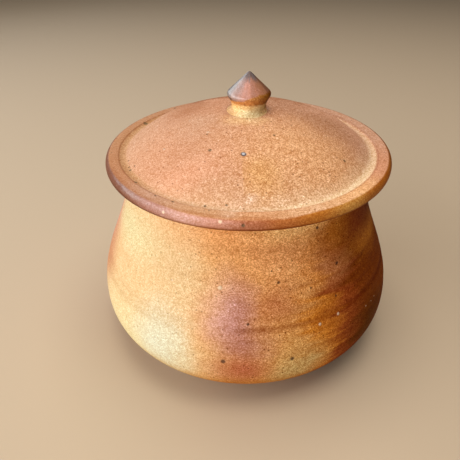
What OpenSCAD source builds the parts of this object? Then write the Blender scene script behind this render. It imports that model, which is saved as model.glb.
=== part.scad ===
// Stoneware salt jar with a loose lid: a thrown pot, a thrown lid whose flange drops into the mouth,
// and a pointed knob stuck on the crown of the lid.
// Millimetres, +Z up, origin on the table at the centre of the foot.

/* [Jar] */
// Height of the jar from the table to the flat of its lip
jar_h = 77.5; // [72:0.5:95]
// Diameter of the belly at its widest
belly_d = 124.4; // [114:0.2:140]
// Height of the widest part of the belly
belly_z = 22.5; // [18:0.5:30]
// Reach of the belly's curve above its widest part
belly_reach_up = 17.6; // [10:0.2:24]
// Reach of the belly's curve below its widest part
belly_reach_down = 15.8; // [10:0.2:17]
// Outer diameter of the neck just under the lip
neck_d = 92.4; // [86:0.2:98]
// Lean of the neck from upright under the lip, in degrees
neck_lean = 9.6; // [2:0.2:16]
// Reach of the neck's curve down from the lip
neck_reach = 24.5; // [14:0.5:30]
// Rounding of the two edges of the lip
lip_round = 1.5; // [0.5:0.1:1.8]
// Thickness of the wall
wall = 5; // [4:0.1:7]
// Thickness of the floor
floor_t = 6; // [5.2:0.1:9]

/* [Foot] */
// Diameter of the foot
foot_d = 76; // [66:0.5:88]
// Rise of the wall where it leaves the foot, in degrees
foot_rise = 12; // [5:1:35]
// Reach of the wall's curve out from the foot
foot_reach = 9.8; // [4:0.2:16]
// Width of the ring that the jar stands on
foot_ring_w = 9; // [5:0.5:15]
// Depth of the hollow turned inside the ring
foot_hollow = 1.5; // [0.5:0.1:2.5]

/* [Lid] */
// Diameter of the lid across its rim
lid_d = 110; // [102:0.5:124]
// Height of the rim above the lip that it lies on
rim_h = 5; // [4:0.1:6]
// Width of the rim from its outer side to its inner edge
rim_w = 5.1; // [4:0.1:8]
// Radius of the bulge of the rim's side
rim_bulge = 3.8; // [3.2:0.1:8]
// Rounding of the upper outer edge of the rim
rim_round = 1; // [0.4:0.1:1.5]
// Depth of the cove below the top of the rim
cove_depth = 0.7; // [0.2:0.1:1.5]
// Width of the slope from the rim down into the cove
cove_slope = 1.6; // [0.8:0.1:4]
// Rise of the crown above the lip
lid_rise = 18.8; // [14:0.2:26]
// Reach of the dome's curve in from the cove
dome_reach_in = 4; // [2:0.5:9]
// Reach of the dome's curve out from the crown
dome_reach_out = 34; // [22:0.5:36]
// Slope of the dome where it leaves the knob, in degrees
crown_slope = 6; // [2:0.5:10]
// Thickness of the dome
dome_t = 5; // [4:0.1:6.5]
// Depth of the flange inside the mouth
flange_h = 9; // [6:0.5:14]
// Thickness of the flange
flange_t = 3.6; // [3:0.1:5]
// Gap between the flange and the mouth, all round
flange_gap = 1.2; // [0.6:0.1:2]
// Width of the slope between the flange and the hollow of the dome
hollow_slope = 2.5; // [1:0.1:4]

/* [Knob] */
// Diameter of the knob's brim
knob_d = 16.6; // [14:0.1:22]
// Height of the knob above the crown
knob_h = 14.3; // [12:0.1:20]
// Height of the brim above the crown
brim_z = 6.2; // [5:0.1:8]
// Rounding of the brim
brim_round = 1.4; // [0.5:0.1:1.6]
// Turn of the brim's rounding below its widest part, in degrees
brim_turn = 35; // [10:1:45]
// Rounding of the tip
tip_round = 1; // [0.6:0.1:2]
// Diameter of the knob's neck
knob_neck_d = 12.9; // [10:0.1:13.6]
// Height of the narrowest part of the neck above the crown
knob_neck_z = 2.2; // [1:0.1:3]
// Diameter of the knob's foot on the crown
knob_foot_d = 16; // [14:0.1:19]

/* [Hidden] */
$fn = 96;
// Number of straight steps in a long curve and in a short rounding
curve_steps = 16;
round_steps = 6;
// Reach of a short curve's handles, as a share of the stretch that it rounds
handle = 0.55;

mouth_r = neck_d / 2 - wall;
flange_r = mouth_r - flange_gap;
lid_seat = jar_h;
crown_z = lid_seat + lid_rise;

// Points along a smooth curve that leaves a towards b and reaches d from c
function curve(a, b, c, d, steps = curve_steps) =
    [for (i = [0:steps])
        let (t = i / steps, s = 1 - t)
        s * s * s * a + 3 * s * s * t * b + 3 * s * t * t * c + t * t * t * d];

// Points along an arc about a centre, from one angle to another
function arc(centre, radius, from, to, steps = round_steps) =
    [for (i = [0:steps])
        let (angle = from + (to - from) * i / steps)
        centre + radius * [cos(angle), sin(angle)]];

// All points of an outline but the first, to carry on from the outline before it
function after_first(points) = [for (i = [1:len(points) - 1]) points[i]];

// The points of an outline in the other order
function reversed(points) = [for (i = [len(points) - 1:-1:0]) points[i]];

// Unit direction of an outline at its point i
function heading(points, i) =
    let (step = points[min(i + 1, len(points) - 1)] - points[max(i - 1, 0)])
    step / norm(step);

// An outline moved to the left of its own direction by a thickness
function set_in(points, thickness) =
    [for (i = [0:len(points) - 1])
        let (along = heading(points, i))
        points[i] + thickness * [-along.y, along.x]];

// Outside of the jar, from the foot out round the belly and up the leaning neck
function jar_outside() =
    let (
        foot = [foot_d / 2, 0],
        belly = [belly_d / 2, belly_z],
        neck = [neck_d / 2, jar_h - lip_round],
        foot_way = [cos(foot_rise), sin(foot_rise)],
        neck_way = [sin(neck_lean), -cos(neck_lean)],
        below = curve(foot, foot + foot_reach * foot_way, belly - [0, belly_reach_down], belly),
        above = curve(belly, belly + [0, belly_reach_up], neck + neck_reach * neck_way, neck)
    )
    concat(below, after_first(above));

// Top of the lid, from the bottom of the cove up over the dome to the knob's foot
function lid_dome() =
    let (
        cove = [lid_d / 2 - rim_w - cove_slope, lid_seat + rim_h - cove_depth],
        crown = [knob_foot_d / 2, crown_z],
        crown_way = [cos(crown_slope), -sin(crown_slope)]
    )
    curve(cove, cove - [dome_reach_in, 0], crown + dome_reach_out * crown_way, crown);

// Pot with an even wall, a flat lip and a shallow hollow turned under its foot
module jar() {
    outside = jar_outside();
    inside = [for (p = set_in(outside, wall)) if (p.y > floor_t && p.y < jar_h - lip_round) p];
    lip_z = jar_h - lip_round;
    lip = concat(
        arc([neck_d / 2 - lip_round, lip_z], lip_round, 0, 90),
        arc([mouth_r + lip_round, lip_z], lip_round, 90, 180)
    );
    ring_r = foot_d / 2 - foot_ring_w;
    color("peru")
        rotate_extrude()
            polygon(concat(
                [[0, foot_hollow], [ring_r - foot_hollow, foot_hollow], [ring_r, 0]],
                outside,
                after_first(lip),
                reversed(inside),
                [[inside[0].x - wall, floor_t], [0, floor_t]]
            ));
}

// Lid with a bead rim that lies on the lip, a domed top, a hollow underside and a flange in the mouth
module lid() {
    dome = lid_dome();
    top_z = lid_seat + rim_h;
    rim_mid = [lid_d / 2 - rim_bulge, lid_seat + rim_h / 2];
    rim_turn = asin(rim_h / 2 / rim_bulge);
    round_up = rim_h / 2 - rim_round;
    round_out = sqrt(pow(rim_bulge - rim_round, 2) - pow(round_up, 2));
    round_turn = atan2(round_up, round_out);
    rim_edge = arc(rim_mid + [round_out, round_up], rim_round, 90, round_turn);
    rim_side = concat(
        arc(rim_mid, rim_bulge, round_turn, 0, round_steps / 2),
        after_first(arc(rim_mid, rim_bulge, 0, -rim_turn, round_steps / 2))
    );
    flange_in = flange_r - flange_t;
    flange_end = arc(
        [flange_r - flange_t / 2, lid_seat - flange_h + flange_t / 2],
        flange_t / 2, 0, -180
    );
    hollow = [for (p = set_in(dome, dome_t)) if (p.x < flange_in - hollow_slope) p];
    color("sandybrown")
        rotate_extrude()
            polygon(concat(
                [[0, crown_z]],
                reversed(dome),
                [[lid_d / 2 - rim_w, top_z]],
                rim_edge,
                after_first(rim_side),
                [[flange_r, lid_seat]],
                flange_end,
                [[flange_in, hollow[0].y - hollow_slope]],
                hollow,
                [[0, crown_z - dome_t]]
            ));
}

// Pointed knob: a flared foot, a short neck that widens to a rounded brim, and a cone with a blunt tip
module knob() {
    foot = [knob_foot_d / 2, crown_z];
    neck = [knob_neck_d / 2, crown_z + knob_neck_z];
    brim = [knob_d / 2 - brim_round, crown_z + brim_z];
    tip = [0, crown_z + knob_h - tip_round];
    cone = tip - brim;
    cone_side = atan2(cone.y, cone.x) - acos((brim_round - tip_round) / norm(cone));
    brim_edge = arc(brim, brim_round, -brim_turn, cone_side);
    tip_edge = arc(tip, tip_round, cone_side, 90);
    brim_way = [sin(brim_turn), cos(brim_turn)];
    flare_reach = handle * (foot.x - neck.x);
    neck_drop = handle * knob_neck_z;
    neck_reach_up = handle * (brim_edge[0].y - neck.y) / 2;
    flare = curve(foot, foot - [flare_reach, 0], neck - [0, neck_drop], neck, round_steps);
    throat = curve(
        neck, neck + [0, neck_reach_up],
        brim_edge[0] - neck_reach_up * brim_way, brim_edge[0], round_steps
    );
    color("sienna")
        rotate_extrude()
            polygon(concat(
                [[0, crown_z]],
                flare,
                after_first(throat),
                after_first(brim_edge),
                tip_edge
            ));
}

jar();
lid();
knob();
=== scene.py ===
import math

import bpy
import numpy as np
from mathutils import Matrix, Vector


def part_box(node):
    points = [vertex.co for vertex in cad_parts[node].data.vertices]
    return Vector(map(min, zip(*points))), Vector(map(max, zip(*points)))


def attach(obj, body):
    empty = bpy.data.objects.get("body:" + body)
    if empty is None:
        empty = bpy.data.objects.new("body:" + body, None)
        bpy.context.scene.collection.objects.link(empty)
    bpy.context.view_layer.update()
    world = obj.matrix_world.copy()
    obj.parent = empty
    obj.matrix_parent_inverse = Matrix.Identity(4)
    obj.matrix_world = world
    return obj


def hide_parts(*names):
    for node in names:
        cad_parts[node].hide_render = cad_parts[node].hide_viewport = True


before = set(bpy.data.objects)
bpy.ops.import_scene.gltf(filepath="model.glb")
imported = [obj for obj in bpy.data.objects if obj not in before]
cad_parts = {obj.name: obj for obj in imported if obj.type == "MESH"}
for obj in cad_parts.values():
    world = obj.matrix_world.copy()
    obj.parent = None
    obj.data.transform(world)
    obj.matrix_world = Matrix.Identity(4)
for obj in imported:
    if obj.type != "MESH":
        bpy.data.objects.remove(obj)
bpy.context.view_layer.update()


# The jar.
# A pot thrown on the wheel from sandy stoneware clay: a full belly, a leaning neck, a flat lip and a
# turned foot. It was fired without glaze among wood ash, so flame and ash coloured its wall unevenly.

mm = 0.001
jar_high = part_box("jar")[1]
jar_h = jar_high.z
belly_r = jar_high.x
belly_z = 22.5 * mm
belly_reach_up = 17.6 * mm
belly_reach_down = 15.8 * mm
neck_r = 46.2 * mm
neck_lean = math.radians(9.6)
neck_reach = 24.5 * mm
lip_round = 1.5 * mm
lip_z = jar_h - lip_round
wall = 5 * mm
mouth_r = neck_r - wall
floor_z = 6 * mm
floor_mid_r = 20 * mm
foot_r = 38 * mm
foot_rise = math.radians(12)
foot_reach = 9.8 * mm
foot_ring_r = 29 * mm
foot_hollow = 1.5 * mm
foot_bevel = 0.5 * mm

# Columns round the jar and the lid, points along a long curve, and rows along each stretch of the jar.
columns = 224
curve_count = 200
under_count = 30
wall_count = 280
lip_count = 10
inside_count = 60

# Grooves that the thrower's fingers left: height, depth and half width in millimetres, then how dark
# each is painted, partly the flame's colour and partly painted shade in the groove, and the middle and
# half length of its dark stretch in degrees from the front.
rings = (
    (39.5, 0.14, 1.1, 0.75, 42, 58), (36, 0.12, 1.6, 0.2, -50, 32), (39.6, 0, 1.5, 0.16, -48, 38),
    (47.6, 0.09, 0.8, 0.16, 54, 38), (35.2, 0.05, 0.8, 0.25, 22, 36), (43.1, 0.04, 0.8, 0.2, 6, 16),
    (52.2, 0.09, 0.8, 0.5, 52, 44), (55.2, 0.05, 0.7, 0.12, -12, 36), (48.8, 0.04, 0.6, 0.2, 4, 16),
    (29, 0.1, 1.4, 0.2, 40, 40), (44.9, 0.07, 0.9, 0.28, 44, 38), (62, 0.07, 1.6, 0, 0, 1),
    (66, 0.04, 1.6, 0.2, 14, 40),
)
# The rings start at this height, ease in over one stretch above it and ease out over another under the lip.
rings_from = 2 * mm
rings_ease_in = 6 * mm
rings_ease_out = 4 * mm


def bend(start, leave, arrive, end, count):
    """Points of a smooth curve from start to end that sets off towards leave and comes in from arrive:
    the four points weighted by the cubes and products of t and 1 - t."""
    t = np.linspace(0, 1, count)[:, None]
    s = 1 - t
    a, b, c, d = (np.array(p, float) for p in (start, leave, arrive, end))
    return s**3 * a + 3 * s**2 * t * b + 3 * s * t**2 * c + t**3 * d


def arc(centre, radius, start, end, count):
    """Points on a circle about centre, from one angle in degrees to another."""
    angle = np.radians(np.linspace(start, end, count))
    return np.array(centre) + radius * np.stack([np.cos(angle), np.sin(angle)], 1)


def set_in(points, thickness):
    """The outline moved square to itself, to the left of its direction, by a thickness."""
    way = np.gradient(points, axis=0)
    way /= np.hypot(way[:, 0], way[:, 1])[:, None]
    return points + thickness * np.stack([-way[:, 1], way[:, 0]], 1)


def evenly(points, count):
    """The same outline with count points spread evenly along its length."""
    points = np.array(points, float)
    along = np.concatenate([[0], np.cumsum(np.hypot(*np.diff(points, axis=0).T))])
    want = np.linspace(0, along[-1], count)
    return np.stack([np.interp(want, along, points[:, k]) for k in (0, 1)], 1)


def turned(name, radius, height, shift=(0, 0), **marks):
    """A closed piece turned on the wheel. Row i, column j lies at radius[i, j] from the axis and at
    height[i, j], at j parts of a full turn counted from the front. The first and the last row lie on
    the axis, and each is one point. Each mark becomes an attribute that holds mark[i] all along row i."""
    rows, around = radius.shape
    turn = 2 * np.pi * np.arange(around) / around
    x = radius * np.sin(turn) + shift[0]
    y = -radius * np.cos(turn) + shift[1]
    grid = np.stack([x, y, height], 2)
    points = np.concatenate([grid[0, :1], grid[1:-1].reshape(-1, 3), grid[-1, :1]])
    here = 1 + np.arange((rows - 2) * around).reshape(rows - 2, around)
    beside = np.roll(here, -1, axis=1)
    quads = np.stack([here[:-1], beside[:-1], beside[1:], here[1:]], 2).reshape(-1, 4)
    under = np.stack([np.zeros(around, int), beside[0], here[0]], 1)
    over = np.stack([here[-1], beside[-1], np.full(around, len(points) - 1)], 1)
    corners = np.concatenate([quads.ravel(), under.ravel(), over.ravel()])
    sizes = np.concatenate([np.full(len(quads), 4), np.full(2 * around, 3)])
    starts = np.concatenate([[0], np.cumsum(sizes)[:-1]])
    mesh = bpy.data.meshes.new(name)
    mesh.vertices.add(len(points))
    mesh.vertices.foreach_set("co", points.astype(np.float32).ravel())
    mesh.loops.add(len(corners))
    mesh.loops.foreach_set("vertex_index", corners.astype(np.int32))
    mesh.polygons.add(len(sizes))
    mesh.polygons.foreach_set("loop_start", starts.astype(np.int32))
    mesh.polygons.foreach_set("use_smooth", np.ones(len(sizes), bool))
    mesh.update(calc_edges=True)
    mesh.validate()
    for mark, by_row in marks.items():
        by_row = np.asarray(by_row, np.float32)
        shares = np.concatenate([by_row[:1], np.repeat(by_row[1:-1], around), by_row[-1:]])
        mesh.attributes.new(mark, "FLOAT", "POINT").data.foreach_set("value", shares)
    piece = bpy.data.objects.new(name, mesh)
    bpy.context.scene.collection.objects.link(piece)
    return piece


def jar_outside():
    """The wall's outer outline: one curve from the foot out to the belly, one from there in to the neck."""
    foot = np.array([foot_r, 0])
    belly = np.array([belly_r, belly_z])
    neck = np.array([neck_r, lip_z])
    foot_way = np.array([math.cos(foot_rise), math.sin(foot_rise)])
    neck_way = np.array([math.sin(neck_lean), -math.cos(neck_lean)])
    below = bend(foot, foot + foot_reach * foot_way, belly - [0, belly_reach_down], belly, curve_count)
    above = bend(belly, belly + [0, belly_reach_up], neck + neck_reach * neck_way, neck, curve_count)
    return np.concatenate([below, above[1:]])


def thrown(height, turn):
    """What throwing takes from the radius at each height and turn: a rounded groove at each ring, rising and
    falling once round the jar and shallowest on the left, and a slow wave that leaves the pot a little out
    of round, partly as an oval and partly as a rounded triangle."""
    oval = 0.12 * mm
    triangle = 0.08 * mm
    wander = 0.3 * mm
    mean_press = 0.65
    oval_turn, triangle_turn, press_turn, wander_turn = 1, 0.4, 0.2, 1.7
    taken = oval * np.sin(2 * turn + oval_turn) + triangle * np.sin(3 * turn + triangle_turn)
    pressed = mean_press + (1 - mean_press) * np.sin(turn + press_turn)
    for i, (at, deep, half, *_) in enumerate(rings):
        centre = at * mm + wander * np.sin(turn + wander_turn * i)
        taken = taken + pressed * deep * mm * np.exp(-((height - centre) / (half * mm)) ** 2)
    return taken


outside = jar_outside()
inside = set_in(outside, wall)
inside = inside[(inside[:, 1] > floor_z) & (inside[:, 1] < lip_z)][::-1]
lip = np.concatenate([
    arc((neck_r - lip_round, lip_z), lip_round, 0, 90, lip_count),
    arc((mouth_r + lip_round, lip_z), lip_round, 90, 180, lip_count),
])
foot_edge = [
    (0, foot_hollow), (foot_ring_r - foot_hollow, foot_hollow), (foot_ring_r, 0), (foot_r - foot_bevel, 0),
]
under_rows = evenly(foot_edge, under_count)
wall_rows = evenly(outside, wall_count)[1:]
inside_rows = np.concatenate([
    evenly(inside, inside_count), [(inside[-1, 0] - wall, floor_z), (floor_mid_r, floor_z), (0, floor_z)],
])
jar_outline = np.concatenate([under_rows, wall_rows, lip[1:], inside_rows])
# How far each row lies out of the flame: not at all on the wall, more and more over the lip, fully inside,
# and halfway under the foot, which is enough to leave it plain.
jar_inner = np.concatenate([
    np.full(len(under_rows), 0.5), np.zeros(len(wall_rows)), np.linspace(0, 1, len(lip) - 1),
    np.ones(len(inside_rows)),
])
turn = 2 * np.pi * np.arange(columns) / columns
jar_height = np.repeat(jar_outline[:, 1:], columns, axis=1)
wall_start = len(under_rows)
wall_end = wall_start + len(wall_rows)
on_wall = np.zeros((len(jar_outline), 1))
on_wall[wall_start:wall_end, 0] = np.clip((wall_rows[:, 1] - rings_from) / rings_ease_in, 0, 1)
on_wall *= np.clip((lip_z - jar_height[:, :1]) / rings_ease_out, 0, 1)
jar_radius = jar_outline[:, :1] - on_wall * thrown(jar_height, turn)

jar = turned("jar_body", jar_radius, jar_height, inner=jar_inner)
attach(jar, "pot")
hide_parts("jar")


class Shade:
    """One value inside a material. Arithmetic on it, with another one or with a number, adds a Math node."""

    def __init__(self, tree, socket):
        self.tree = tree
        self.socket = socket

    def make(self, kind, inputs, output=0, **settings):
        """A new node in the same material: its settings first, then its inputs, each of them another value
        or a plain number, colour or vector. Gives back one of its outputs."""
        node = self.tree.nodes.new(kind)
        for name, setting in settings.items():
            setattr(node, name, setting)
        for key, given in inputs.items():
            if isinstance(given, Shade):
                self.tree.links.new(given.socket, node.inputs[key])
            else:
                node.inputs[key].default_value = given
        return Shade(self.tree, node.outputs[output])

    def math(self, operation, first, second=0.0):
        """A Math node on one value or on two."""
        return self.make("ShaderNodeMath", {0: first, 1: second}, operation=operation)

    def __abs__(self):
        return self.math("ABSOLUTE", self)

    def __add__(self, other):
        return self.math("ADD", self, other)

    def __radd__(self, other):
        return self.math("ADD", other, self)

    def __sub__(self, other):
        return self.math("SUBTRACT", self, other)

    def __rsub__(self, other):
        return self.math("SUBTRACT", other, self)

    def __mul__(self, other):
        return self.math("MULTIPLY", self, other)

    def __rmul__(self, other):
        return self.math("MULTIPLY", other, self)

    def __truediv__(self, other):
        return self.math("DIVIDE", self, other)

    def __rtruediv__(self, other):
        return self.math("DIVIDE", other, self)


def clay(name):
    """A new clay material. Gives back it, its shader node and the place of the shaded point on the piece."""
    material = bpy.data.materials.new(name)
    material.use_nodes = True
    tree = material.node_tree
    shader = tree.nodes["Principled BSDF"]
    place = Shade(tree, tree.nodes.new("ShaderNodeTexCoord").outputs["Object"])
    return material, shader, place


def feed(shader, **inputs):
    """Links values to inputs of the shader; an underscore stands for a space in the input's name."""
    for name, value in inputs.items():
        value.tree.links.new(value.socket, shader.inputs[name.replace("_", " ")])


def parts(value, kind):
    """The three parts of a vector or a colour, taken apart by a node of the given kind."""
    node = value.make(kind, {0: value}).socket.node
    return [Shade(value.tree, socket) for socket in node.outputs]


def marked(place, name):
    """The value of one of the piece's own attributes."""
    return place.make("ShaderNodeAttribute", {}, output=2, attribute_name=name)


def degrees_round(x, y):
    """Degrees round the axis, from the front and to the right."""
    return x.math("ARCTAN2", x, 0 - y) * math.degrees(1)


def turn_share(angle):
    """Degrees from the front as a share of a full turn that starts at the back: the front is at a half."""
    return (angle + 180) / 360


def ease(value, low, high, start=0.0, end=1.0):
    """Start below low, end above high, and a smooth step between the two."""
    return value.make("ShaderNodeMapRange", {0: value, 1: low, 2: high, 3: start, 4: end},
                      interpolation_type="SMOOTHSTEP")


def blend(share, under, over, mode="MIX"):
    """The colour under with a share of the colour over laid on it."""
    under, over = ((*c, 1) if isinstance(c, tuple) else c for c in (under, over))
    inputs = {0: share, 6: under, 7: over}
    return share.make("ShaderNodeMix", inputs, output=2, data_type="RGBA", blend_type=mode)


def bell(field, centre, size, turn=0):
    """One at the centre of a patch, easing to nothing at its edge: one less the distance from the centre,
    counted in half sizes of the patch, which may be turned by some degrees."""
    local = field.make("ShaderNodeMapping", {
        "Vector": field,
        "Location": (*centre, 0),
        "Rotation": (0, 0, math.radians(turn)),
        "Scale": (*size, 1),
    }, vector_type="TEXTURE")
    nearness = field.make("ShaderNodeTexGradient", {"Vector": local}, output=1, gradient_type="SPHERICAL")
    return ease(nearness, 0, 1)


def patched(field, colour, patches):
    """The colour with the listed patches laid on it one after the other. Each has its place in the field,
    its half sizes, its turn in degrees, its colour and its share."""
    for across, up, wide, tall, lean, tint, share in patches:
        colour = blend(bell(field, (across, up), (wide, tall), lean) * share, colour, tint)
    return colour


def stretch(place, by):
    """The place with each axis multiplied, to draw a pattern out along the others."""
    return place.make("ShaderNodeVectorMath", {0: place, 1: by}, operation="MULTIPLY")


def noise(place, size, detail=2.0, rough=0.5, output=0):
    """Cloudy noise whose largest lumps have about the given size."""
    return place.make("ShaderNodeTexNoise", {
        "Vector": place, "Scale": 1 / size, "Detail": detail, "Roughness": rough,
    }, output=output)


def sown(place, apart, output):
    """Points strewn about this far apart: 0 gives the distance to the nearest, 1 a lot drawn for each."""
    drawn = place.make("ShaderNodeTexVoronoi", {"Vector": place, "Scale": 1 / apart}, output=output)
    return place.make("ShaderNodeSeparateColor", {0: drawn}) if output else drawn


def dots(place, apart, size, share):
    """Round dots strewn about this far apart, of a size that is a share of that distance. Only this share of
    the points gets a dot."""
    near = ease(sown(place, apart, 0), size, 0.5 * size)
    drawn = ease(sown(place, apart, 1), 0.98 - share, 1 - share)
    return near * drawn


# Specks in the clay, brown iron, black iron and quartz: how far apart in millimetres, the size as a share of
# that, the share of the points that get one, and what each does to the colour.
specks = (
    (0.85, 0.34, 0.34, (0.7, 0.53, 0.37)),
    (1.8, 0.22, 0.3, (0.38, 0.25, 0.16)),
    (1, 0.3, 0.38, (1.3, 1.58, 1.9)),
)


def sandy(place, colour, strength):
    """The colour with sand in it: each grain a little lighter or darker than the next, clouds of paler clay,
    and specks of iron and quartz strewn among them. Gives back the colour and the height of the grains."""
    dark_grain = (0.78, 0.66, 0.57)
    light_grain = (1.32, 1.62, 2.1)
    dark_cloud = (0.95, 0.91, 0.86)
    light_cloud = (1.05, 1.09, 1.14)
    grain = ease((sown(place, 0.27 * mm, 1) + sown(place, 0.38 * mm, 1)) / 2, 0.25, 0.85)
    cloud = ease(noise(place, 2.4 * mm, 2, 0.6), 0.3, 0.7)
    colour = blend(strength, colour, blend(grain, dark_grain, light_grain), "MULTIPLY")
    colour = blend(strength, colour, blend(cloud, dark_cloud, light_cloud), "MULTIPLY")
    for apart, size, share, tint in specks:
        colour = blend(dots(place, apart * mm, size, share) * strength, colour, tint, "MULTIPLY")
    return colour, noise(place, 0.45 * mm, 1, 0.6) * 0.08 - sown(place, 0.4 * mm, 0) * 0.05


def ramp(value, stops):
    """The colours of the stops, eased from each one to the next along the value."""
    given = value.make("ShaderNodeValToRGB", {0: value})
    scale = given.socket.node.color_ramp
    scale.interpolation = "EASE"
    while len(scale.elements) < len(stops):
        scale.elements.new(1)
    for element, (at, colour) in zip(scale.elements, stops):
        element.position = at
        element.color = (*colour, 1)
    return given


# How far noise moves the edge of a spot, at most. Half of it is the usual move, which every spot makes good.
ragged = 0.7 * mm


def ragged_place(place):
    """The place moved about by fine noise, so that a spot measured from it has a ragged edge."""
    return place.make("ShaderNodeVectorMath", {
        0: noise(place, 0.8 * mm, 2, 0.6, 1), 1: (ragged, ragged, ragged), 2: place,
    }, operation="MULTIPLY_ADD")


def spot(place, centre, size):
    """One within about half a size, in millimetres, of a point on the piece, nothing beyond the size."""
    middle = [c + ragged / 2 for c in centre]
    far = place.make("ShaderNodeVectorMath", {0: place, 1: middle}, output=1, operation="DISTANCE")
    return ease(far, size * mm, 0.45 * size * mm)


def spots(place, surface, listed):
    """All the listed spots together: two numbers that say where on a surface each is, then its size."""
    return sum(spot(place, surface(first, second), size) for first, second, size in listed)


def bumpy(relief):
    """The direction of the surface with a relief, in millimetres, raised on it."""
    return relief.make("ShaderNodeBump", {"Height": relief, "Strength": 1, "Distance": 1 * mm})


def on_jar(angle, height):
    """The point of the jar's wall at an angle in degrees from the front and a height in millimetres."""
    radius = np.interp(height * mm, outside[:, 1], outside[:, 0])
    way = math.radians(angle)
    return radius * math.sin(way), -radius * math.cos(way), height * mm


# What the fire left on the clay: pale ash and yellows, plain and reddish clay, oranges, purples, then the
# browns where the flame was fiercest.
ash = (0.7, 0.65, 0.45)
straw = (0.75, 0.65, 0.35)
honey = (0.75, 0.5, 0.25)
# A light gold, used only as painted light under the lid's overhang.
under_lid_painted_light = (0.9, 0.55, 0.2)
oat = (0.55, 0.35, 0.12)
buff = (0.5, 0.25, 0.12)
warm_buff = (0.6, 0.35, 0.2)
blush = (0.65, 0.3, 0.2)
brick = (0.55, 0.25, 0.12)
peach = (0.75, 0.4, 0.15)
orange = (0.8, 0.35, 0.12)
amber = (0.65, 0.3, 0.08)
copper = (0.6, 0.2, 0.02)
mauve = (0.6, 0.3, 0.25)
plum = (0.4, 0.15, 0.12)
rust = (0.45, 0.12, 0.05)
toast = (0.35, 0.15, 0.06)
umber = (0.3, 0.06, 0.01)
bark = (0.2, 0.04, 0.003)
char = (0.1, 0.03, 0.003)
# Clay that the flame didn't reach, between two shades that follow the marks of the wheel.
plain_dark = (0.42, 0.25, 0.14)
plain_light = (0.52, 0.33, 0.19)
# What dulls the colour under it: painted shade near the foot and under the belly, and the dark in a
# ring, partly painted shade in the groove.
bottom_painted_shade = (0.9, 0.74, 0.5)
foot_shade = (0.8, 0.7, 0.56)
ring_shade = (0.5, 0.28, 0.12)
pit_colour = (0.07, 0.03, 0.02)
grit_colour = (0.87, 0.69, 0.5)

# The ground colours round the wall, by degrees from the front, to the right.
around_jar = (
    (-180, buff), (-125, warm_buff), (-88, blush), (-66, honey), (-26, honey), (-14, peach), (-4, amber),
    (6, amber), (15, amber), (25, copper), (36, umber), (48, bark), (82, bark), (125, toast), (180, buff),
)
# Patches of flash and ash on the wall: angle, height, half width, half height, turn, colour and share.
jar_patches = (
    # The left edge, and the yellow and the ash on the left of the front.
    (-78, 38, 17, 20, 0, brick, 0.9),
    (-80, 24, 12, 9, 0, toast, 0.9),
    (-59, 60, 32, 12, 0, straw, 0.8),
    (-46, 22, 44, 22, 0, straw, 0.8),
    (-32, 28, 18, 23, -8, ash, 1),
    # The orange below the lid.
    (-8, 72, 46, 16, 0, orange, 0.8),
    (11, 62, 33, 20, 0, orange, 0.9),
    # The purple flush down the front, with rust on its right, and painted light under the lid's overhang.
    (9, 46, 17, 13, 0, rust, 0.6),
    (-9, 46.5, 15, 19, 0, mauve, 0.75),
    (-4, 46, 10, 16, 0, plum, 0.5),
    (-9, 40, 11, 7, 0, mauve, 0.45),
    (20, 75, 32, 9, 0, under_lid_painted_light, 0.8),
    (-2, 33, 17, 13, 0, plum, 0.75),
    # The bottom of the front.
    (18, 21, 15, 17, 0, oat, 0.9),
    (-3, 22, 19, 11, 0, rust, 0.9),
    # The dark right side and the lighter flashes on it.
    (34, 40, 16, 14, 0, umber, 0.45),
    (37, 54, 13, 9, 0, orange, 0.35),
    (23, 49.5, 9, 4, 0, peach, 0.45),
    (45, 37, 17, 4.5, 0, bark, 0.3),
    (40, 69, 19, 13, 0, copper, 0.7),
    (58, 66, 22, 14, 0, umber, 0.8),
    (51, 25, 22, 18, 0, char, 0.8),
    # A lighter flash high on the far right, partly painted sheen.
    (62, 56, 26, 9, 0, copper, 0.65),
    (76, 30, 18, 22, 0, bark, 0.9),
)
# Iron spots burnt out of the clay, and light grit: angle, height and size.
jar_pits = (
    (-8.5, 27, 1.1), (14.5, 26.7, 1), (37, 55.5, 0.9), (10.9, 55, 0.7), (29, 70.5, 0.8), (-0.5, 41.8, 0.6),
    (33.6, 45, 0.6), (8.4, 59, 0.5), (23.3, 50.9, 0.5),
)
jar_grit = (
    (-11, 53.3, 1), (25.2, 37.5, 0.8), (33.3, 38.3, 0.8), (48.5, 33.4, 0.4), (52.5, 33, 0.35),
    (55.5, 33.2, 0.35), (-30, 52, 0.5),
)

# In the materials, angles are in degrees from the front, to the right, and heights and radii in millimetres.
jar_clay, shader, place = clay("jar_clay")
x, y, z = parts(place, "ShaderNodeSeparateXYZ")
angle = degrees_round(x, y)
height = z / mm
drift_a, drift_h, drift_c = parts(noise(place, 22 * mm, 3, 0.6, 1), "ShaderNodeSeparateColor")
# Noise moves the patches' edges, most of all at the back, and the marks of the wheel draw them out into
# streaks, which are longest on the right.
wheel = noise(stretch(place, (0.07, 0.07, 1)), 4 * mm, 3, 0.6)
streak = (wheel - 0.5) * ease(angle, -15, 40, 8, 46)
swept = angle + (drift_a - 0.5) * ease(abs(angle), 75, 110, 12, 60) + streak
raised = height + (drift_h - 0.5) * 10
field = place.make("ShaderNodeCombineXYZ", {0: swept - streak * 0.7, 1: raised})
colour = ramp(turn_share(swept), [(turn_share(at), tint) for at, tint in around_jar])
colour = patched(field, colour, jar_patches)
# Painted shade towards the bottom, and more under the belly.
colour = blend(ease(raised, 21, 9), colour, bottom_painted_shade, "MULTIPLY")
colour = blend(ease(height, 19, 11), colour, foot_shade, "MULTIPLY")

# The dark in the grooves: partly the flame's colour, partly painted shade.
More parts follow.
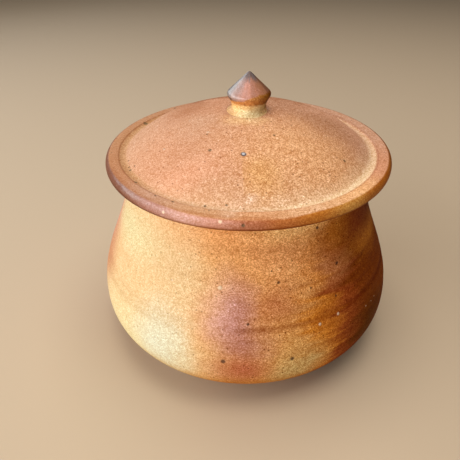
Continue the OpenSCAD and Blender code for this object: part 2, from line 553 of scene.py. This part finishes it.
groove = 0
for at, _, half, dark, middle, reach in rings:
    near = ease(abs(height - at), 1.8 * half, 0)
    along = ease(abs(angle - middle), reach, 0.6 * reach)
    groove = groove + near * along * dark
groove = groove * ease(noise(stretch(place, (1, 1, 0.3)), 9 * mm, 2, 0.6), 0.3, 0.6, 0.65, 1)
colour = blend(groove, colour, ring_shade, "MULTIPLY")
colour = blend(ease(marked(place, "inner"), 0.2, 0.5), colour, blend(wheel, plain_dark, plain_light))

# The sand shows less where ash covers it, on the left.
colour, sand = sandy(place, colour, ease(x / mm, -38, 14, 0.42, 1))
edge = ragged_place(place)
pits = spots(edge, on_jar, jar_pits)
grit = spots(edge, on_jar, jar_grit)
colour = blend(pits * 0.85, colour, pit_colour)
colour = blend(grit * 0.75, colour, grit_colour)

relief = sand + wheel * 0.15 + grit * 0.25 - pits * 0.3
dull = ease(drift_c, 0.3, 0.7, 0.55, 0.75) - pits * 0.25
feed(shader, Base_Color=colour, Normal=bumpy(relief), Roughness=dull)
shader.inputs["Specular IOR Level"].default_value = 0.02
jar.data.materials.append(jar_clay)


# The lid.
# A shallow dome thrown as one piece with its bead rim and with the flange under it, which drops into
# the mouth. It lies loose on the lip, a little to one side.

lid_low, lid_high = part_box("lid")
lid_r = lid_high.x
lid_shift = (0.5 * mm, 0)
crown_z = lid_high.z
crown_r = 8 * mm
crown_slope = math.radians(6)
dome_reach_in = 4 * mm
dome_reach_out = 34 * mm
dome_t = 5 * mm
hollow_slope = 2.5 * mm
flange_t = 3.6 * mm
flange_gap = 1.2 * mm
flange_r = mouth_r - flange_gap
flange_in = flange_r - flange_t

# The fire bent the rim a little, from this radius outwards: down at the front left, up at the back right.
bent_from = 47 * mm
rim_bend = 0.55 * mm
highest_turn = math.radians(135)
# The rim is trimmed underneath, up to this level in millimetres: a little everywhere, and more along a
# stretch at the front right, whose middle and half length are in degrees.
trim_level = 3
trim_least = 0.2 * mm
trim_more = 0.35 * mm
trim_middle = 15
trim_half = 32

# Rows along the stretches of the lid's outline.
hollow_count = 50
flange_count = 20
seat_count = 16
dome_count = 180


def by_rim(out, up):
    """A point of the rim's section, in millimetres out from the rim's edge and up from the lip."""
    return lid_r + out * mm, jar_h + up * mm


# Where the stretches of the rim's section meet, from the lip that it lies on, round the bead to the cove.
rim_rest = by_rim(-2.2, 0)
rim_low = by_rim(-1.3, 0.15)
rim_high = by_rim(-0.4, 4.35)
rim_top_out = by_rim(-1.6, 5.05)
rim_top_in = by_rim(-4.8, 5)
cove = by_rim(-6.7, 4.3)

rim_under = bend(rim_rest, by_rim(-1.6, 0), by_rim(-1.5, 0), rim_low, count=8)
rim_side = bend(rim_low, by_rim(0.3, 1.2), by_rim(0.35, 3.3), rim_high, count=40)
rim_round = bend(rim_high, by_rim(-0.75, 4.84), by_rim(-1, 5.02), rim_top_out, count=14)
rim_top = bend(rim_top_out, by_rim(-2.5, 5.1), by_rim(-4, 5.1), rim_top_in, count=20)
rim_slope = bend(rim_top_in, by_rim(-5.1, 4.95), by_rim(-5.2, 4.5), cove, count=20)

crown = np.array([crown_r, crown_z])
crown_way = np.array([math.cos(crown_slope), -math.sin(crown_slope)])
cove_leave = (cove[0] - dome_reach_in, cove[1])
dome = bend(cove, cove_leave, crown + dome_reach_out * crown_way, crown, curve_count)
hollow = set_in(dome, dome_t)[::-1]
hollow = hollow[hollow[:, 0] < flange_in - hollow_slope]
under_rows = np.concatenate([
    [(0, crown_z - dome_t)],
    evenly(hollow, hollow_count),
    [(flange_in, hollow[-1, 1] - hollow_slope)],
    arc((flange_r - flange_t / 2, lid_low.z + flange_t / 2), flange_t / 2, -180, 0, flange_count),
    evenly([(flange_r, jar_h), rim_rest], seat_count)[:-1],
])
seen_from_above = np.concatenate([
    rim_top, rim_slope[1:], evenly(dome, dome_count)[1:], [(crown_r / 2, crown_z), (0, crown_z)],
])
top_rows = np.concatenate([rim_under, rim_side[1:], rim_round[1:], seen_from_above[1:]])
lid_outline = np.concatenate([under_rows, top_rows])
lid_inner = np.concatenate([np.ones(len(under_rows)), np.zeros(len(top_rows))])
lid_level = (lid_outline[:, 1] - jar_h) / mm
lid_radius = np.repeat(lid_outline[:, :1], columns, axis=1)
bent = rim_bend * np.clip((lid_radius - bent_from) / (lid_r - bent_from), 0, 1)
lid_height = lid_outline[:, 1:] + bent * np.cos(turn - highest_turn)
from_front = np.degrees(turn + np.pi) % 360 - 180
trimmed = trim_least + trim_more * np.exp(-((from_front - trim_middle) / trim_half) ** 2)
beyond_lip = np.clip((lid_radius - rim_rest[0]) / mm, 0, 1)
lid_height = lid_height + trimmed * beyond_lip * np.clip(1 - lid_level[:, None] / trim_level, 0, 1)

lid = turned("lid_plate", lid_radius, lid_height, lid_shift, inner=lid_inner, level=lid_level)
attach(lid, "cover")
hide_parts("lid")


def on_lid(x, y):
    """The point of the lid's top at a place of its plan, in millimetres to the right and to the back."""
    inwards = seen_from_above[::-1]
    return x * mm + lid_shift[0], y * mm, np.interp(math.hypot(x, y) * mm, inwards[:, 0], inwards[:, 1])


def on_rim_side(angle, level):
    """The point of the rim's side at an angle in degrees from the front and a level in millimetres."""
    radius = np.interp(jar_h + level * mm, rim_side[:, 1], rim_side[:, 0])
    way = math.radians(angle)
    up = rim_bend * math.cos(way - highest_turn)
    return radius * math.sin(way) + lid_shift[0], -radius * math.cos(way), jar_h + level * mm + up


# More of the fire's colours, for the lid, with some for painted light and shade in the cove and on its bank.
biscuit = (0.7, 0.35, 0.15)
rosy = (0.7, 0.35, 0.2)
dusky = (0.55, 0.3, 0.17)
russet = (0.3, 0.1, 0.03)
chalk = (0.8, 0.6, 0.45)
lid_ground_dark = (0.52, 0.24, 0.12)
lid_ground_light = (0.58, 0.29, 0.16)
lick_colour = (0.63, 0.31, 0.11)
slip_colour = (0.72, 0.45, 0.19)
slip_foot_colour = (0.8, 0.56, 0.25)
cove_ash_and_light = (0.84, 0.6, 0.35)
bank_shade_colour = (0.5, 0.26, 0.11)
smear_colour = (0.82, 0.62, 0.46)
lid_pit_colour = (0.11, 0.085, 0.04)
lid_grit_colour = (0.8, 0.6, 0.45)
chip_colour = (0.86, 0.68, 0.48)
iron_colour = (0.05, 0.055, 0.08)
glint_colour = (0.5, 0.5, 0.53)
# What dulls the colour under it on the rim: its shoulder, its lower edge, partly painted shade, and
# painted shade on its left and in the line inside it.
shoulder_shade = (0.82, 0.71, 0.62)
low_edge_shade = (0.48, 0.31, 0.12)
low_left_shade = (0.74, 0.6, 0.45)
edge_line_shade = (0.5, 0.36, 0.28)

# Patches of flash on the lid's top: place across and away, half width, half depth, turn, colour and share.
lid_patches = (
    # The back, and the left.
    (0, 38, 62, 34, 0, russet, 0.9),
    (-21, 29, 22, 15, -20, bark, 0.6),
    (-43, 0, 20, 34, 0, dusky, 0.8),
    # The front right and the right.
    (16, -24, 40, 30, 0, biscuit, 0.9),
    (24, -34, 28, 18, 35, biscuit, 0.8),
    (38, 6, 24, 28, 0, rosy, 0.9),
    (30, -4, 16, 18, 0, toast, 0.5),
    # The left of the middle, beside the knob and in front of it.
    (-24, 8, 15, 20, 0, russet, 0.45),
    (-20, -33, 22, 10, 25, rosy, 0.6),
    (-18, -9, 18, 15, 0, dusky, 0.7),
    (-12, 18, 9, 9, 0, rosy, 0.5),
    # The front, along the cove.
    (0, -44, 52, 12, 0, honey, 0.2),
    (-0.5, -44.6, 4, 2.4, 0, chalk, 0.5),
)
# Iron spots and light grit on the top: place across and away, and size.
lid_pits = (
    (-13.6, -26.4, 0.8), (8.4, -19.4, 0.5), (32.7, -24.4, 0.7), (-43.6, 23.1, 1.3), (-32.4, 40.5, 0.7),
    (-14.8, -17.4, 0.4), (-25, -43.6, 0.6), (-31.1, -39.8, 0.5), (-14.8, -45.7, 0.55), (-8.1, -46, 0.45),
    (-13.3, -49, 0.5), (-44.3, -14.5, 0.5), (-43.4, -18.9, 0.5), (-42.6, -21.1, 0.6), (-41.1, -20, 0.4),
    (-39.2, -30, 0.8), (-52.1, -7.2, 0.5),
)
lid_grit = ((-14.6, -16.2, 0.7), (-30, -20, 0.5), (-22, -5, 0.5), (-40, -36.3, 0.5))
# The large iron spot on the top, and the glint in it.
iron_spot = (-2.4, -29.6, 1.25)
glint_spot = (-2.5, -29.5, 0.75)
# Chips and an iron spot on the rim's side: angle, level and size.
rim_chips = ((-30.5, 3.7, 0.7), (-10.5, 4.2, 0.75))
rim_pits = ((-3.2, 3.5, 0.7),)

# By shares of a turn from the back, to the right: how pale the cove is, palest at the front right, partly
# painted light there, and the colours of the rim's top and of its side.
cove_shares = (
    (0, 0.2), (0.2, 0.15), (0.3, 0.12), (0.4, 0.28), (0.5, 0.45), (0.56, 0.95), (0.63, 0.95), (0.7, 0.65),
    (0.8, 0.4), (1, 0.2),
)
rim_colours = (
    (0, (0.51, 0.26, 0.15)), (0.22, (0.46, 0.22, 0.1)), (0.33, (0.45, 0.2, 0.09)),
    (0.39, (0.52, 0.28, 0.17)), (0.45, (0.6, 0.32, 0.16)), (0.5, (0.64, 0.31, 0.14)),
    (0.56, (0.69, 0.38, 0.19)), (0.62, (0.77, 0.41, 0.18)), (0.68, (0.6, 0.27, 0.14)),
    (0.78, (0.56, 0.3, 0.18)), (1, (0.51, 0.26, 0.15)),
)
# The side's colours are partly its flash and partly painted: lighter at the front left for a highlight,
# darker at the far left and on the right for shade.
side_colours = (
    (0, (0.36, 0.15, 0.08)), (0.2, (0.24, 0.09, 0.04)), (0.3, (0.17, 0.06, 0.03)),
    (0.35, (0.18, 0.06, 0.03)), (0.37, (0.26, 0.11, 0.07)), (0.4, (0.4, 0.19, 0.14)),
    (0.44, (0.6, 0.31, 0.23)), (0.465, (0.57, 0.25, 0.16)), (0.5, (0.42, 0.14, 0.06)),
    (0.525, (0.43, 0.13, 0.03)), (0.56, (0.46, 0.15, 0.02)), (0.6, (0.53, 0.24, 0.05)),
    (0.63, (0.4, 0.13, 0.02)), (0.66, (0.36, 0.1, 0.01)), (0.71, (0.24, 0.07, 0.01)),
    (0.8, (0.27, 0.1, 0.04)), (1, (0.36, 0.15, 0.08)),
)

lid_clay, shader, place = clay("lid_clay")
x, y, _ = parts(place, "ShaderNodeSeparateXYZ")
x = (x - lid_shift[0]) / mm
y = y / mm
angle = degrees_round(x, y)
square = x * x + y * y
radius = square.math("SQRT", square)
height = marked(place, "level")
inner = marked(place, "inner")
drift_x, drift_y, drift_c = parts(noise(place, 18 * mm, 3, 0.6, 1), "ShaderNodeSeparateColor")
field = place.make("ShaderNodeCombineXYZ", {0: x + (drift_x - 0.5) * 14, 1: y + (drift_y - 0.5) * 14})
colour = blend(drift_c, lid_ground_dark, lid_ground_light)
colour = patched(field, colour, lid_patches)
# A lick of flame at the front, cut off short on its left.
lick = bell(field, (2, -37), (12, 13)) * ease(x + (drift_y - 0.5) * 3, -3, -2.2)
colour = blend(lick * 0.9, colour, lick_colour)
# Slip spread about the front of the knob, palest close to its foot.
colour = blend(bell(field, (-1, -9), (13, 6)) * 0.5, colour, slip_colour)
plan = place.make("ShaderNodeCombineXYZ", {0: x, 1: y})
colour = blend(bell(plan, (0, -9), (10, 3.4)) * 0.3, colour, slip_foot_colour)

# Pale ash in the cove, partly painted light where the cove faces the light at the front right. It reaches
# a millimetre further in on the right, painted light on the slope that lies in shade there. Its bank on
# the left is darkened with painted shade.
reach = radius + ease(angle, 28, 62) * ease(angle, 120, 90)
in_cove = (ease(reach, 42.5, 48.5) * 0.5 + ease(reach, 46.8, 48.6) * 0.5) * ease(radius, 49.8, 49)
cove_share = ramp(turn_share(angle), [(at, (share, share, share)) for at, share in cove_shares])
cove_share = cove_share.make("ShaderNodeSeparateColor", {0: cove_share})
colour = blend(in_cove * cove_share, colour, cove_ash_and_light)
shaded_bank = ease(radius, 46.6, 47.6) * ease(angle, -35, -60) * ease(angle, -170, -130)
colour = blend(shaded_bank * 0.8, colour, bank_shade_colour)

# The rim's top, and its darker shoulder from the left round to the front.
outer_face = ease(inner, 0.6, 0.2)
on_rim = ease(radius, 49.4, 50)
colour = blend(on_rim, colour, ramp(turn_share(angle), rim_colours))
shoulder = ease(radius, 51.8, 53.2) * ease(angle, -80, -60) * ease(angle, 14, 2) * outer_face
colour = blend(shoulder * 0.9, colour, shoulder_shade, "MULTIPLY")

# The rim's side, whose colour starts a little further in on the right and further out in front.
on_right = ease(angle, 45, 75) * ease(angle, 140, 110)
in_front = ease(angle, -34, -18) * ease(angle, 22, 10)
side_edge = radius + 0.35 + on_right * 0.1 - in_front * 0.5
on_side = ease(side_edge, 53.7, 54.4) * outer_face
colour = blend(on_side, colour, ramp(turn_share(angle), side_colours))

# The lower edge of the rim is darker, partly painted shade, and painted shade darkens the lower half of
# its side on the left.
outermost = ease(radius, 52, 53)
colour = blend(ease(height, 2.6, 1) * outermost, colour, low_edge_shade, "MULTIPLY")
low_left = ease(height, 3.8, 2) * outermost * ease(angle, -30, -50) * ease(angle, -78, -60)
colour = blend(low_left, colour, low_left_shade, "MULTIPLY")
# A smear of ash on the front of the rim, and painted shade along the line where the rim drops to the cove.
colour = blend(bell(field, (-6.3, -50.6), (6, 2.5)) * 0.2, colour, smear_colour)
edge_line = ease(abs(radius - 50), 0.45, 0.1) * (0.2 + ease(angle, 15, 40) * ease(angle, 95, 70) * 0.22)
colour = blend(edge_line, colour, edge_line_shade, "MULTIPLY")

wheel = noise(place.make("ShaderNodeCombineXYZ", {0: radius, 1: height}), 2.5, 2, 0.6)
colour = blend(ease(inner, 0.2, 0.5), colour, blend(wheel, plain_dark, plain_light))
# The sand shows less on the rim, in the ash and on both sides than in the middle.
smooth = on_rim * 0.22 + in_cove * cove_share * 0.35 + ease(x, 15, 35) * 0.1
colour, sand = sandy(place, colour, ease(x, -25, 5, 0.6, 0.95) * (1 - smooth))
edge = ragged_place(place)
pits = spots(edge, on_lid, lid_pits) + spots(edge, on_rim_side, rim_pits)
grit = spots(edge, on_lid, lid_grit)
chips = spots(edge, on_rim_side, rim_chips)
iron = spots(edge, on_lid, [iron_spot])
glint = spots(edge, on_lid, [glint_spot])
colour = blend(pits * 0.75, colour, lid_pit_colour)
colour = blend(grit * 0.6, colour, lid_grit_colour)
colour = blend(chips * 0.8, colour, chip_colour)
colour = blend(iron * 0.95, colour, iron_colour)
colour = blend(glint, colour, glint_colour)

# A broken gloss on the left of the rim's side: strongest at the front left, mostly on the upper half.
on_left = ease(angle, 2, -16) * ease(angle, -150, -110)
sheen = on_left * ease(angle, -66, -48, 0.1, 1)
sheen = sheen * ease(height + ease(angle, -40, -20) * 1.2, 2.6, 4.3, 0.05, 1)
sheen = sheen * ease(angle, -56, -32, 1, 0.4)
sheen = sheen * ease(noise(place, 1.4 * mm, 3, 0.7), 0.35, 0.6, 0.4, 1.15)
gloss = on_side * (0.02 + sheen) + iron * 0.5
relief = sand * (1 - on_rim * 0.6) + grit * 0.2 - pits * 0.3 - iron * 0.3
dull = ease(drift_c, 0.3, 0.7, 0.55, 0.72) - iron * 0.35
feed(shader, Base_Color=colour, Normal=bumpy(relief), Roughness=dull, Coat_Weight=gloss)
shader.inputs["Coat Roughness"].default_value = 0.28
shader.inputs["Coat IOR"].default_value = 1.7
shader.inputs["Specular IOR Level"].default_value = 0.08
lid.data.materials.append(lid_clay)


# The knob.
# A small lump of clay stuck on the crown with slip and turned there to a short neck, a rounded brim and a
# pointed cap. Ash settled on the cap and left it darker and smoother than the rest.

knob_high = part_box("knob")[1]
# The brim is dressed a touch smaller than its solid.
brim_less = 0.15 * mm
knob_r = knob_high.x - brim_less
knob_shift = (0.75 * mm, 0)
brim_z = crown_z + 6.3 * mm
brim_round = 1.4 * mm
brim_turn = math.radians(35)
brim_reach = 1.3 * mm
tip_round = 1 * mm
neck_low = np.array([6.45 * mm, crown_z + 2.2 * mm])
neck_reach_up = 0.9 * mm
neck_reach_down = 1.7 * mm
knob_columns = 128

# The slip about the foot: its edge, sunk a little into the dome, how it leaves that edge, and how far the
# whole knob is sunk in. On the right the slip was wiped away, by most of its width.
slip_r = 9.8 * mm
slip_sunk = 0.05 * mm
slip_leave = np.array([-2.2, 0.22]) * mm
foot_sunk = 0.6 * mm
wiped_share = 0.8
wiped_turn = 0.3

brim = np.array([knob_r - brim_round, brim_z])
brim_low = brim + brim_round * np.array([math.cos(brim_turn), -math.sin(brim_turn)])
brim_way = np.array([math.sin(brim_turn), math.cos(brim_turn)])
tip = np.array([0, knob_high.z - tip_round])
cone = tip - brim
cone_way = math.atan2(cone[1], cone[0])
cone_lean = math.degrees(cone_way - math.acos((brim_round - tip_round) / np.hypot(*cone)))
slip_edge = np.array([slip_r, np.interp(slip_r, dome[::-1, 0], dome[::-1, 1]) - slip_sunk])
slip = bend(slip_edge, slip_edge + slip_leave, neck_low - [0, neck_reach_down], neck_low, count=30)
throat = bend(neck_low, neck_low + [0, neck_reach_up], brim_low - brim_reach * brim_way, brim_low, count=20)
cap = np.concatenate([
    arc(brim, brim_round, -math.degrees(brim_turn), cone_lean, count=20),
    arc(tip, tip_round, cone_lean, 90, count=20),
])
knob_outline = np.concatenate([[(0, crown_z - foot_sunk)], slip, throat[1:], evenly(cap, count=90)[1:]])
knob_radius = np.repeat(knob_outline[:, :1], knob_columns, axis=1)
knob_height = np.repeat(knob_outline[:, 1:], knob_columns, axis=1)
knob_turn = 2 * np.pi * np.arange(knob_columns) / knob_columns
wiped = wiped_share * np.clip(np.sin(knob_turn - wiped_turn), 0, 1)
slip_rows = slice(1, 1 + len(slip))
knob_radius[slip_rows] -= wiped * np.clip(knob_radius[slip_rows] - neck_low[0], 0, None)

knob = turned("knob_cap", knob_radius, knob_height, knob_shift)
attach(knob, "cover")
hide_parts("knob")

# By shares of a turn from the back, to the right: the colours of the neck, painted lighter on the left
# and darker on the right for light and shade, and of the cap.
neck_colours = (
    (0, (0.5, 0.3, 0.13)), (0.28, (0.72, 0.42, 0.16)), (0.37, (0.9, 0.66, 0.28)), (0.44, (0.87, 0.7, 0.37)),
    (0.52, (0.72, 0.53, 0.26)), (0.57, (0.7, 0.51, 0.25)), (0.64, (0.56, 0.37, 0.14)),
    (0.72, (0.46, 0.26, 0.09)), (1, (0.5, 0.3, 0.13)),
)
cap_colours = (
    (0, (0.22, 0.12, 0.09)), (0.28, (0.18, 0.15, 0.14)), (0.38, (0.38, 0.25, 0.22)),
    (0.46, (0.5, 0.24, 0.18)), (0.54, (0.44, 0.19, 0.12)), (0.62, (0.35, 0.15, 0.08)),
    (0.72, (0.25, 0.1, 0.05)), (1, (0.22, 0.12, 0.09)),
)
# The slip at the foot, painted lighter on the right where it lies in shade, and the band under the brim,
# partly scorched and partly painted shade, each on the left and on the right.
spilt_left = (0.76, 0.45, 0.19)
spilt_right_and_light = (0.85, 0.55, 0.24)
band_left = (0.6, 0.25, 0.07)
band_right = (0.28, 0.1, 0.01)
far_right_shade = (0.55, 0.42, 0.28)
scorch_shade = (0.45, 0.3, 0.2)
glow_colour = (0.85, 0.46, 0.15)
dark_trail = (0.87, 0.88, 0.9)
light_trail = (1.12, 1.11, 1.09)
burnt_colour = (0.03, 0.02, 0.016)
tip_dark = (0.06, 0.05, 0.05)
tip_light = (0.17, 0.14, 0.14)

knob_clay, shader, place = clay("knob_clay")
x, y, z = parts(place, "ShaderNodeSeparateXYZ")
angle = degrees_round(x - knob_shift[0], y)
height = (z - crown_z) / mm
drift_a, drift_h, drift_c = parts(noise(place, 4 * mm, 3, 0.6, 1), "ShaderNodeSeparateColor")
level = height + (drift_h - 0.5) * 1.2
swept = angle + (drift_a - 0.5) * 40
to_right = ease(swept, -5, 50) * ease(swept, 175, 130)

# The pale neck, with painted light on the left and painted shade on the right, slip about its foot away
# from the front, and an orange glow below the brim on the left.
off_front = ease(abs(angle), 20, 60)
spilt = off_front * ease(height + (drift_c - 0.5) * 1.4, 2, 0.6)
colour = blend(spilt * 0.9, ramp(turn_share(swept), neck_colours), blend(to_right, spilt_left, spilt_right_and_light))
glow = ease(level, 1.2, 3) * ease(swept, 35, -15) * ease(swept, -170, -130)
colour = blend(glow * 0.6, colour, glow_colour)

# The band under the brim, partly scorched and partly painted shade, darkest on the right.
scorched = ease(noise(place, 1.3 * mm, 2, 0.6), 0.45, 0.7)
band_colour = blend(to_right, band_left, band_right)
band_colour = blend(ease(swept, 40, 75), band_colour, far_right_shade, "MULTIPLY")
band_colour = blend(scorched * 0.5, band_colour, scorch_shade, "MULTIPLY")
in_band = ease(level + to_right * 0.1 + (drift_c - 0.5) * 1.2, 3.2, 4.3)
colour = blend(in_band, colour, band_colour)

# The cap, whose lower edge rises to the right, with ash trailed down from its tip.
rising = ease(swept, -40, 30) * ease(swept, 175, 130)
on_cap = ease(level - rising * 2.5 + (drift_c - 0.5), 4.8, 5.6)
from_axis = place.make("ShaderNodeVectorMath", {0: place, 1: (*knob_shift, 0)}, operation="SUBTRACT")
way_out = place.make("ShaderNodeVectorMath", {0: stretch(from_axis, (1, 1, 0))}, operation="NORMALIZE")
trail = ease(noise(way_out, 0.3, 3, 0.7), 0.3, 0.7)
colour = blend(on_cap, colour, ramp(turn_share(swept), cap_colours))
colour = blend(on_cap, colour, blend(trail, dark_trail, light_trail), "MULTIPLY")
# The brim is burnt black on the left, and the tip is charred.
burnt = ease(level, 4.7, 5.2) * ease(level, 6.4, 5.8) * ease(swept, -32, -58) * ease(swept, -170, -130)
colour = blend(burnt, colour, burnt_colour)
charred = ease(level + (trail - 0.5) * 1.6, 11, 13)
colour = blend(charred * 0.9, colour, blend(trail, tip_dark, tip_light))

colour, sand = sandy(place, colour, 0.6 - on_cap * 0.3)
relief = sand * (1 - on_cap * 0.6) + drift_c * 0.15
dull = 0.65 - on_cap * 0.15
gloss = on_cap * ease(level, 6.6, 8, 1, 0.55)
feed(shader, Base_Color=colour, Normal=bumpy(relief), Roughness=dull, Coat_Weight=gloss)
shader.inputs["Coat Roughness"].default_value = 0.23
shader.inputs["Coat IOR"].default_value = 1.7
shader.inputs["Specular IOR Level"].default_value = 0.2
knob.data.materials.append(knob_clay)


# The stage: a pale floor, a wide window on the left, soft light from the room in front and from the
# ceiling, and the camera where the photograph was taken from.

floor_half = 4
floor_colour = (0.54, 0.43, 0.31, 1)
room_colour = (1, 0.88, 0.74, 1)
daylight = (1, 1, 0.98)
warm_light = (1, 0.93, 0.84)
cool_light = (0.92, 0.98, 1)
lit_point = Vector((0, 0, 0.05))

floor_mesh = bpy.data.meshes.new("floor")
floor_mesh.from_pydata([
    (-floor_half, -floor_half, 0), (floor_half, -floor_half, 0),
    (floor_half, floor_half, 0), (-floor_half, floor_half, 0),
], [], [(0, 1, 2, 3)])
floor = bpy.data.objects.new("floor", floor_mesh)
bpy.context.scene.collection.objects.link(floor)
paper = bpy.data.materials.new("pale_floor")
paper.use_nodes = True
paper_shader = paper.node_tree.nodes["Principled BSDF"]
paper_shader.inputs["Base Color"].default_value = floor_colour
paper_shader.inputs["Roughness"].default_value = 0.9
floor_mesh.materials.append(paper)

world = bpy.data.worlds.new("room")
bpy.context.scene.world = world
world.use_nodes = True
room = world.node_tree.nodes["Background"]
room.inputs["Color"].default_value = room_colour
room.inputs["Strength"].default_value = 0.03


def soft_light(name, place, size, power, colour):
    """A rectangle of light at a place, facing the jar, with its width and height in metres and its power."""
    lamp = bpy.data.lights.new(name, "AREA")
    lamp.shape = "RECTANGLE"
    lamp.size, lamp.size_y = size
    lamp.energy = power
    lamp.color = colour
    light = bpy.data.objects.new(name, lamp)
    bpy.context.scene.collection.objects.link(light)
    light.location = place
    light.rotation_euler = (lit_point - Vector(place)).to_track_quat("-Z", "Y").to_euler()
    return light


soft_light("window", (-0.68, -0.3, 0.36), (1.2, 0.6), 7.4, daylight)
soft_light("room", (-0.18, -0.87, 0.22), (0.5, 0.42), 2.2, warm_light)
ceiling = soft_light("ceiling", (0.08, 0.03, 1), (0.8, 0.7), 8.2, warm_light)
ceiling.visible_glossy = False
# The card behind on the left lights only what shines.
card = soft_light("card", (-0.55, 0.55, 0.45), (0.9, 0.5), 3.6, cool_light)
card.visible_diffuse = False

# The camera looks down on the jar and leans a little.
camera_place = (-6.53 * mm, -168.78 * mm, 157.43 * mm)
camera_down = math.radians(34.545)
camera_roll = math.radians(-0.277)
camera_data = bpy.data.cameras.new("camera")
camera_data.sensor_width = 36
camera_data.lens = 36
camera_data.clip_start = 0.01
camera = bpy.data.objects.new("camera", camera_data)
bpy.context.scene.collection.objects.link(camera)
camera.location = camera_place
camera.rotation_mode = "XYZ"
camera.rotation_euler = (math.radians(90) - camera_down, 0, 0)
camera.rotation_euler.rotate_axis("Z", camera_roll)
bpy.context.scene.camera = camera
bpy.context.scene.view_settings.view_transform = "Standard"
